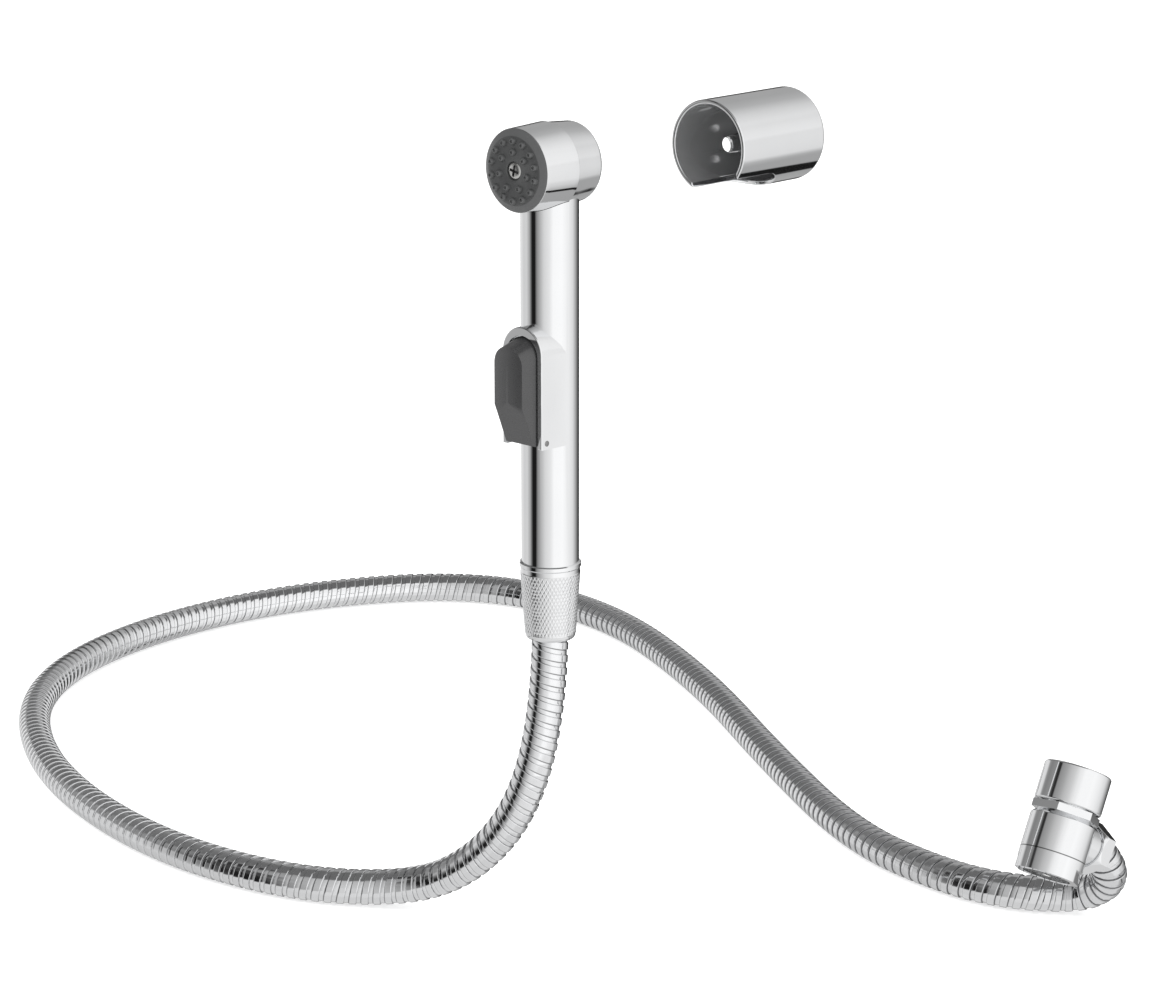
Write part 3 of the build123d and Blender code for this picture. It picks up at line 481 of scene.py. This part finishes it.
buildScrew()

# ends of the lever's pin, riveted flush into both cheeks
pinEnds = {
    "radius": 1.15, "half": 10.04, "thick": 0.6, "out": 12.3, "below": 100.5,
    "edge": 0.2, "around": 28, "sharp": 50,
}


def buildPinEnds():
    bm = bmesh.new()
    radius, thick = pinEnds["radius"] * mm, pinEnds["thick"] * mm
    for side in (-1, 1):
        centre = (side * (pinEnds["half"] * mm - thick / 2), handsetY - pinEnds["out"] * mm,
                  headZ - pinEnds["below"] * mm)
        place = Matrix.Translation(centre) @ Matrix.Rotation(math.radians(90), 4, "Y")
        made = bmesh.ops.create_cone(bm, cap_ends=True, segments=pinEnds["around"], radius1=radius,
                                     radius2=radius, depth=thick, matrix=place)["verts"]
        edges = {e for v in made for e in v.link_edges}
        rim = [e for e in edges if abs(e.verts[0].co.x - e.verts[1].co.x) < weld]
        bmesh.ops.bevel(bm, geom=rim, offset=pinEnds["edge"] * mm, affect="EDGES", segments=2, profile=0.5,
                        material=-1)
    finishPiece("pinEnds", meshFrom(bm, "pinEnds", pinEnds["sharp"]), pinSteelAndRecessShade, "handset", "steel")


buildPinEnds()
print("screw and pin ends made")

# the metal and plastic bodies keep their shape and get the small rounds that moulding and polishing leave
rounds = {
    "wall_holder": ("handset", "chrome", holderChrome, 0.5),
    "handle_body": ("handset", "chrome", chrome, 0.25),
    "front_ring": ("handset", "chrome", chrome, 0.2),
    "hex_nut": ("diverter", "chrome", chrome, 0.25),
    "diverter_body": ("diverter", "chrome", diverterChrome, 0.35),
    "inlet_collar": ("collar", "chrome", chrome, 0.25),
    "aerator_ring": ("diverter", "chrome", diverterChrome, 0.35),
    "thumb_lever": ("lever", "dark_plastic", leverPlastic, 0.3),
}
roundStyle = {"segments": 3, "from": 28, "weight": 60, "weld": 2e-6}


def softened(name, body, slot, material, width):
    bm = bmesh.new()
    bm.from_mesh(nodes[name].data)
    bmesh.ops.remove_doubles(bm, verts=bm.verts, dist=roundStyle["weld"])
    piece = finishPiece(name + "Round", meshFrom(bm, name + "Round"), material, body, slot, name)
    edge = piece.modifiers.new("edge", "BEVEL")
    edge.width = width * mm
    edge.segments = roundStyle["segments"]
    edge.limit_method = "ANGLE"
    edge.angle_limit = math.radians(roundStyle["from"])
    edge.miter_outer = "MITER_ARC"
    even = piece.modifiers.new("even", "WEIGHTED_NORMAL")
    even.mode = "FACE_AREA_WITH_ANGLE"
    even.weight = roundStyle["weight"]
    return piece


rounded = {name: softened(name, *settings) for name, settings in rounds.items()}
print("bodies rounded")

# hose: its route is one smooth spline, and two steel strips wind round it in steps
hose = {
    "diameter": 14.0 * mm,
    "length": 1.339,
    "pitch": 4.9 * mm, "strips": 2, "hand": -1, "around": 24, "spareTurns": 4, "sharp": 30,
    "endRun": 1.2 * mm, "endRadius": 6.9,
    # share of the pitch, radius, and how deep in the groove it lies, which also sets its painted shade
    "bandEdges": [(0.0, 6.5, 0.3), (0.03, 6.88, 0.15), (0.07, 7.0, 0), (0.085, 7.0, 0), (0.53, 7.0, 0),
                  (0.55, 7.0, 0), (0.595, 6.88, 0.3), (0.625, 6.45, 1), (0.67, 6.45, 0.5), (0.70, 6.5, 0),
                  (0.97, 6.5, 0)],
    "route": [
        (0.0, -137.7, -166.0), (0.0, -137.7, -195.4), (-5.7, -143.9, -238.7), (-26.5, -149.6, -268.6),
        (-59.5, -154.8, -287.0), (-104.5, -184.4, -287.0), (-186.0, -187.6, -287.0), (-283.1, -156.7, -287.0),
        (-366.5, -94.3, -287.0), (-403.2, -9.5, -287.0), (-397.3, 93.3, -287.0), (-342.7, 177.5, -287.0),
        (-255.0, 180.7, -287.0), (-151.7, 129.3, -287.0), (-51.9, 61.5, -287.0), (31.5, 10.2, -287.0),
        (84.4, -1.4, -287.0), (114.8, 2.0, -287.0), (136.6, 17.3, -287.0), (149.4, 16.3, -279.0),
        (154.1, 12.4, -272.5), (155.2, 8.2, -266.7), (154.411, 2.914, -260.618), (153.818, -1.89, -257.803),
    ],
    "smoothness": 48,
}


def hoseCentreline():
    curve = bpy.data.curves.new("hoseRoute", "CURVE")
    curve.dimensions = "3D"
    curve.resolution_u = hose["smoothness"]
    spline = curve.splines.new("NURBS")
    spline.points.add(len(hose["route"]) - 1)
    for point, place in zip(spline.points, hose["route"]):
        point.co = (*(Vector(place) * mm), 1)
    spline.order_u = 3
    spline.use_endpoint_u = True
    carrier = bpy.data.objects.new("hoseRoute", curve)
    bpy.context.scene.collection.objects.link(carrier)
    bpy.context.view_layer.update()
    line = bpy.data.meshes.new_from_object(carrier.evaluated_get(bpy.context.evaluated_depsgraph_get()))
    points = [vertex.co.copy() for vertex in line.vertices]
    bpy.data.objects.remove(carrier)
    return points


def alongHose(points):
    # distance, place, and two directions across, carried along without twist
    stations = []
    travelled = 0.0
    side = Vector((1, 0, 0))
    for index, point in enumerate(points):
        ahead = points[min(index + 1, len(points) - 1)] - points[max(index - 1, 0)]
        ahead.normalize()
        side = (side - ahead * side.dot(ahead)).normalized()
        if index:
            travelled += (point - points[index - 1]).length
        stations.append((travelled, point, side, ahead.cross(side)))
    return stations


def windColumn(shell, stations, column, rows, depthLayer):
    # one line of points along the hose, at one angle round it
    edges = hose["bandEdges"]
    angle = 2 * math.pi * column / hose["around"]
    lag = hose["hand"] * hose["strips"] * hose["pitch"] * column / hose["around"]
    total = stations[-1][0]
    cursor = 0
    verts = []
    for row in rows:
        share, radius, depth = edges[row % len(edges)]
        run = hose["pitch"] * (row // len(edges) + share) + lag
        if run < hose["endRun"] or run > total - hose["endRun"]:
            radius, depth = hose["endRadius"], 0
        run = min(max(run, 0.0), total)
        while cursor < len(stations) - 2 and stations[cursor + 1][0] < run:
            cursor += 1
        start, finish = stations[cursor], stations[cursor + 1]
        share = (run - start[0]) / max(finish[0] - start[0], 1e-9)
        centre = start[1].lerp(finish[1], share)
        side = start[2].lerp(finish[2], share).normalized()
        across = start[3].lerp(finish[3], share).normalized()
        vertex = shell.verts.new(centre + (side * math.cos(angle) + across * math.sin(angle)) * radius * mm)
        vertex[depthLayer] = depth
        verts.append(vertex)
    return verts


def buildHose():
    points = hoseCentreline()
    stations = alongHose(points)
    total = stations[-1][0]
    around = hose["around"]
    turnRows = hose["strips"] * len(hose["bandEdges"])
    rows = range(-turnRows, int(total / hose["pitch"] + hose["spareTurns"]) * len(hose["bandEdges"]))
    shell = bmesh.new()
    depthLayer = shell.verts.layers.float.new("groove")
    columns = [windColumn(shell, stations, column, rows, depthLayer) for column in range(around)]
    for column, here in enumerate(columns):
        beside = columns[(column + 1) % around]
        step = hose["hand"] * turnRows if column == around - 1 else 0
        for row in range(len(here) - 1):
            other = row + step
            if 0 <= other and other + 1 < len(beside):
                shell.faces.new((here[row], beside[other], beside[other + 1], here[row + 1]))
    bmesh.ops.remove_doubles(shell, verts=shell.verts, dist=weld)
    bmesh.ops.dissolve_degenerate(shell, dist=weld, edges=shell.edges)
    loose = [vertex for vertex in shell.verts if not vertex.link_faces]
    bmesh.ops.delete(shell, geom=loose, context="VERTS")
    bmesh.ops.holes_fill(shell, edges=shell.edges, sides=0)
    bmesh.ops.recalc_face_normals(shell, faces=shell.faces)
    mesh = meshFrom(shell, "hoseBands", hose["sharp"])
    piece = finishPiece("hoseBands", mesh, hoseSteel, "hose_run", "hose_steel", "hose")
    onDiverter = [nodes[name] for name in ("outlet_ferrule", "outlet_washer", "inlet_stem", "inlet_washer",
                                           "aerator_screen", "diverter_piston", "diverter_spring")]
    onDiverter += [rounded[name] for name in ("hex_nut", "diverter_body", "inlet_collar", "aerator_ring")]
    print("hose", round(total, 4), "m,", len(mesh.polygons), "faces")


buildHose()

# studio: pale floor, white surroundings to the eye, and a room of cards that only reflections see
floorLook = {
    "height": -294.2, "size": 6, "colour": (0.93, 0.93, 0.93, 1),
    "rough": 0.9, "specular": 0.1, "glow": 0.45,
}

# each row of cards gives a turn in degrees, with 0 towards the camera, and a brightness
cards = {
    "low": [(-180, 0.5), (-120, 0.62), (-60, 0.72), (0, 0.85), (60, 0.9), (90, 0.88), (98, 0.75), (104, 0.55),
            (110, 0.42), (150, 0.4), (180, 0.45)],
    "eyeLevel": [(-180, 0.05), (-177, 0.05), (-172, 0.55), (-166, 0.85), (-146, 0.85), (-122, 0.72),
                 (-103, 0.75), (-93, 0.56), (-86, 0.44), (-81, 0.22), (-75, 0.05), (-72, 0.012),
                 (-59, 0.012), (-56, 0.12), (-51, 0.28), (-38, 0.5), (-20, 0.78), (0, 0.92), (15, 1.12),
                 (50, 1.15), (80, 1.0), (102, 0.83), (118, 0.5), (131, 0.24), (142, 0.1), (149, 0.03),
                 (180, 0.05)],
    "high": [(-180, 0.4), (-175, 0.2), (-168, 0.14), (-137, 0.16), (-128, 0.32), (-118, 0.25), (-100, 0.3),
             (-90, 0.25), (-84, 0.05), (-60, 0.05), (-52, 0.35), (-20, 0.7), (0, 0.95), (25, 1.1), (60, 1.1),
             (95, 0.97), (110, 0.8), (130, 0.62), (150, 0.5), (166, 0.42), (180, 0.4)],
    "top": [(-180, 0.38), (-150, 0.2), (-103, 0.15), (-93, 0.25), (-90, 0.03), (-78, 0.03), (-74, 0.3),
            (-50, 0.42), (-35, 0.55), (-13, 0.7), (7, 0.95), (60, 1.05), (100, 0.95), (128, 0.72), (148, 0.5),
            (165, 0.42), (180, 0.38)],
}
room = {
    "faces": 47.1,
    "rises": [(-0.46, "eyeLevel"), (0.10, "high"), (0.44, "top")], "riseBlend": 0.08,
    "zenith": (0.15, 0.15, 0.15), "zenithFrom": 0.77, "zenithBlend": 0.06,
    "nadir": (0.72, 0.72, 0.72), "nadirFrom": -0.76, "nadirBlend": 0.08,
}
# one dark bar low on the right, which turned parts show as a line along their underside
bar = {"top": -0.612, "bottom": -0.662, "from": 100, "to": 147, "blend": 0.01, "tone": (0.012, 0.012, 0.012)}
lamps = {
    "key": {"place": (-0.5, -1.1, 1.0), "power": 9.0},
    "fill": {"place": (1.3, -0.4, 0.9), "power": 5.0},
}
lampSize = 0.9
lampTarget = Vector((0, -0.1, -0.1))
photoCamera = {
    "lens": 112.7, "sensor": 36, "reach": 20, "place": (0.8828, -1.0874, 0.2182),
    "right": (0.73728, 0.67559, 0.0), "up": (-0.17144, 0.18709, 0.96727),
    "back": (0.65348, -0.71314, 0.25376),
}


def buildFloor():
    bm = bmesh.new()
    bmesh.ops.create_grid(bm, x_segments=1, y_segments=1, size=floorLook["size"])
    bmesh.ops.translate(bm, verts=bm.verts, vec=(0, 0, floorLook["height"] * mm))
    mesh = meshFrom(bm, "studioFloor")
    floor = bpy.data.objects.new("studioFloor", mesh)
    bpy.context.scene.collection.objects.link(floor)
    material, surface, shade = newMaterial("paleFloor")
    surface.inputs["Base Color"].default_value = floorLook["colour"]
    surface.inputs["Roughness"].default_value = floorLook["rough"]
    surface.inputs["Specular IOR Level"].default_value = floorLook["specular"]
    surface.inputs["Emission Color"].default_value = (1, 1, 1, 1)
    surface.inputs["Emission Strength"].default_value = floorLook["glow"]
    mesh.materials.append(material)
    floor.visible_glossy = False


def buildRoom():
    world = bpy.data.worlds.new("studioWorld")
    bpy.context.scene.world = world
    world.use_nodes = True
    world.node_tree.nodes.clear()
    shade = Shade(world.node_tree)
    way = shade.out(shade.node("ShaderNodeTexCoord"), "Generated")
    eastward, northward, upward = shade.split(way)

    def share(degrees):
        return (degrees + 180) / 360

    turn = shade.math("ARCTAN2", northward, eastward) / (2 * math.pi) + share(room["faces"])
    turn = shade.math("FRACT", turn + 1)

    def row(name):
        steps = [(share(place), tone) for place, tone in cards[name]]
        return shade.out(shade.node("ShaderNodeValToRGB", {"stops": steps}, Fac=turn))

    def between(value, low, high):
        return ((value - low) / bar["blend"]).clamp() * ((high - value) / bar["blend"]).clamp()

    light = row("low")
    for start, name in room["rises"]:
        light = shade.mix(((upward - start) / room["riseBlend"]).clamp(), light, row(name))
    light = shade.mix(((upward - room["zenithFrom"]) / room["zenithBlend"]).clamp(), light, room["zenith"])
    light = shade.mix(((room["nadirFrom"] - upward) / room["nadirBlend"]).clamp(), light, room["nadir"])
    inBar = between(upward, bar["bottom"], bar["top"]) * between(turn, share(bar["from"]), share(bar["to"]))
    light = shade.mix(inBar, light, bar["tone"])
    rays = shade.node("ShaderNodeLightPath")
    seen = shade.node("ShaderNodeBackground", Color=(1, 1, 1, 1), Strength=1.0)
    mirrored = shade.node("ShaderNodeBackground", Color=light, Strength=1.0)
    choice = shade.node("ShaderNodeMixShader", i0=shade.out(rays, "Is Glossy Ray"), i1=shade.out(seen),
                        i2=shade.out(mirrored))
    shade.node("ShaderNodeOutputWorld", Surface=shade.out(choice))


def placeLamps():
    for name, setting in lamps.items():
        lamp = bpy.data.lights.new(name, "AREA")
        lamp.size = lampSize
        lamp.energy = setting["power"]
        holder = bpy.data.objects.new(name, lamp)
        holder.location = setting["place"]
        holder.rotation_euler = (lampTarget - Vector(setting["place"])).to_track_quat("-Z", "Y").to_euler()
        holder.visible_glossy = False
        bpy.context.scene.collection.objects.link(holder)


def placeCamera():
    camera = bpy.data.cameras.new("photoCamera")
    camera.sensor_width = photoCamera["sensor"]
    camera.lens = photoCamera["lens"]
    camera.clip_end = photoCamera["reach"]
    eye = bpy.data.objects.new("photoCamera", camera)
    axes = Matrix([photoCamera[name] for name in ("right", "up", "back")]).transposed().to_4x4()
    eye.matrix_world = Matrix.Translation(photoCamera["place"]) @ axes
    bpy.context.scene.collection.objects.link(eye)
    bpy.context.scene.camera = eye
    bpy.context.scene.view_settings.view_transform = "Standard"


buildFloor()
buildRoom()
placeLamps()
placeCamera()
print("studio set")

bpy.context.view_layer.update()
